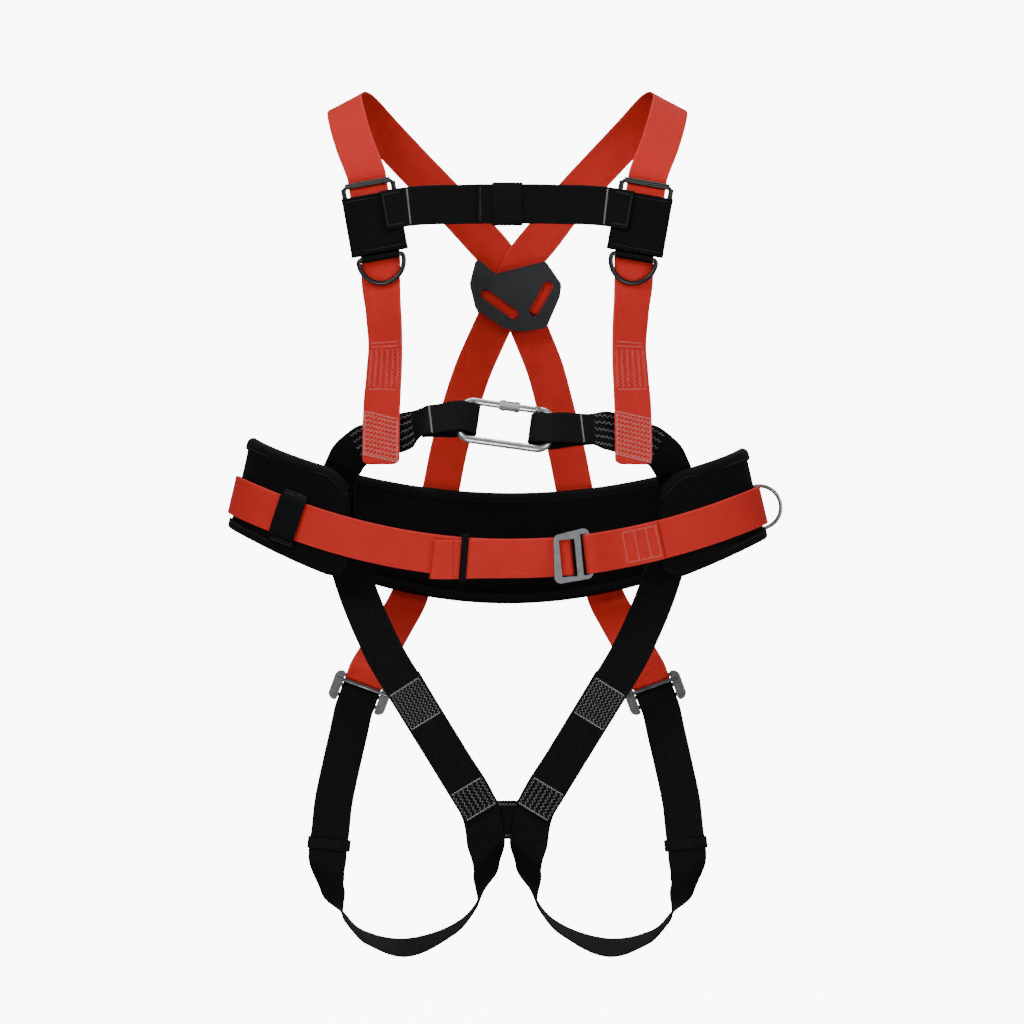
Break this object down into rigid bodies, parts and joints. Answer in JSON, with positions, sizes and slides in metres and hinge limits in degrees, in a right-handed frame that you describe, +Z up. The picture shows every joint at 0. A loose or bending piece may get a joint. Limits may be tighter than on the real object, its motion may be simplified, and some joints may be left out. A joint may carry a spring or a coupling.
{
  "type": "safety harness",
  "caption": "Full-body fall-arrest harness of red and black webbing with a padded belt, dorsal plate and ring, chest rings, a front carabiner and leg loops.",
  "frame": {"origin": "on the hinge line of the dorsal D-ring, in the centre plane of the harness", "axes": "+Z up as worn, +Y towards the wearer's back, X across the body, so -Y is the front"},
  "size_m": [0.643, 0.2938, 0.9982],
  "materials": {
    "red_webbing": "woven polyester webbing, satin",
    "black_webbing": "woven polyester webbing, satin",
    "sleeve_cloth": "plain black cloth",
    "keeper_elastic": "ribbed elastic",
    "pad_cloth": "fine black pad cloth, matt",
    "pad_foam": "closed-cell foam, hidden",
    "plate_plastic": "moulded, slightly textured",
    "black_steel": "black coated, semi-gloss",
    "plated_steel": "zinc-plated, satin",
    "cast_alloy": "zinc-plated, satin",
    "carabiner_steel": "plated, satin",
    "knurled_steel": "knurled, plated"
  },
  "bodies": {
    "harness": {"shoulder_strap_left": "red_webbing", "shoulder_strap_right": "red_webbing", "chest_webbing_left": "red_webbing", "chest_webbing_right": "red_webbing", "waist_belt": "red_webbing", "dorsal_plate_lining": "red_webbing", "chest_strap_left": "black_webbing", "chest_strap_right": "black_webbing", "hip_strap_left": "black_webbing", "hip_strap_right": "black_webbing", "leg_strap_left": "black_webbing", "leg_strap_right": "black_webbing", "chest_ring_loop_left": "black_webbing", "chest_ring_loop_right": "black_webbing", "side_ring_loop_left": "black_webbing", "side_ring_loop_right": "black_webbing", "crotch_patch": "black_webbing", "belt_loop_front": "black_webbing", "belt_loop_rear_middle": "black_webbing", "belt_loop_rear_left": "black_webbing", "belt_loop_rear_right": "black_webbing", "chest_sleeve_left": "sleeve_cloth", "chest_sleeve_right": "sleeve_cloth", "waist_pad_cover": "pad_cloth", "waist_pad_foam": "pad_foam", "dorsal_plate": "plate_plastic", "chest_adjuster_left": "black_steel", "chest_adjuster_right": "black_steel", "belt_buckle_bar": "plated_steel", "thigh_buckle_left": "plated_steel", "thigh_buckle_right": "plated_steel", "belt_buckle_frame": "cast_alloy"},
    "dorsal_ring": {"dorsal_d_ring": "black_steel"},
    "chest_ring_left": {"chest_d_ring_left": "black_steel"},
    "chest_ring_right": {"chest_d_ring_right": "black_steel"},
    "side_ring_left": {"side_d_ring_left": "plated_steel"},
    "side_ring_right": {"side_d_ring_right": "plated_steel"},
    "carabiner": {"carabiner_body": "carabiner_steel"},
    "carabiner_gate_body": {"carabiner_gate": "carabiner_steel", "carabiner_gate_pin": "carabiner_steel", "carabiner_gate_spring": "carabiner_steel"},
    "carabiner_sleeve_body": {"carabiner_screw_sleeve": "knurled_steel"},
    "chest_keeper_body": {"chest_keeper": "keeper_elastic"},
    "belt_keeper_body": {"belt_keeper": "keeper_elastic"},
    "leg_keeper_left_body": {"leg_keeper_left": "keeper_elastic"},
    "leg_keeper_right_body": {"leg_keeper_right": "keeper_elastic"}
  },
  "joints": [
    {"name": "dorsal_ring_swing", "type": "hinge", "parent": "harness", "child": "dorsal_ring", "pos_m": [0.004, 0, 0], "axis": [1, 0, 0], "range_deg": [0, 110]},
    {"name": "chest_ring_swing_left", "type": "hinge", "parent": "harness", "child": "chest_ring_left", "pos_m": [-0.1418, -0.225, 0.01848], "axis": [-0.9848, 0, -0.1736], "range_deg": [0, 105]},
    {"name": "chest_ring_swing_right", "type": "hinge", "parent": "harness", "child": "chest_ring_right", "pos_m": [0.1418, -0.225, 0.01848], "axis": [-0.9848, 0, 0.1736], "range_deg": [0, 105]},
    {"name": "side_ring_swing_left", "type": "hinge", "parent": "harness", "child": "side_ring_left", "pos_m": [-0.29639, -0.06116, -0.2563], "axis": [0.3195, 0.0797, 0.9442], "range_deg": [0, 165]},
    {"name": "side_ring_swing_right", "type": "hinge", "parent": "harness", "child": "side_ring_right", "pos_m": [0.27439, -0.06116, -0.26743], "axis": [-0.3019, 0.0634, 0.9512], "range_deg": [-38, 122]},
    {"name": "carabiner_swing", "type": "hinge", "parent": "harness", "child": "carabiner", "pos_m": [-0.002, -0.238, -0.17], "axis": [0.9903, 0, -0.1392], "range_deg": [-5, 5]},
    {"name": "gate_open", "type": "hinge", "parent": "carabiner", "child": "carabiner_gate_body", "pos_m": [0.03171, -0.2255, -0.15287], "axis": [0.0696, -0.866, 0.4951], "range_deg": [0, 22], "stiffness_Nm_per_rad": 0.08, "springref_deg": -11.46},
    {"name": "screw_sleeve_turn", "type": "hinge", "parent": "carabiner_gate_body", "child": "carabiner_sleeve_body", "pos_m": [0.00101, -0.2255, -0.14856], "axis": [0.9903, 0, -0.1392], "continuous": true},
    {"name": "chest_keeper_slide", "type": "slide", "parent": "harness", "child": "chest_keeper_body", "axis": [1, 0, 0], "range_m": [-0.012, 0.012]},
    {"name": "belt_keeper_slide", "type": "slide", "parent": "harness", "child": "belt_keeper_body", "axis": [0.9959, -0.0516, -0.074], "range_m": [-0.006, 0.006]},
    {"name": "leg_keeper_slide_left", "type": "slide", "parent": "harness", "child": "leg_keeper_left_body", "axis": [0.109, 0, 0.994], "range_m": [-0.008, 0.008]},
    {"name": "leg_keeper_slide_right", "type": "slide", "parent": "harness", "child": "leg_keeper_right_body", "axis": [-0.109, 0, 0.994], "range_m": [-0.008, 0.008]}
  ]
}
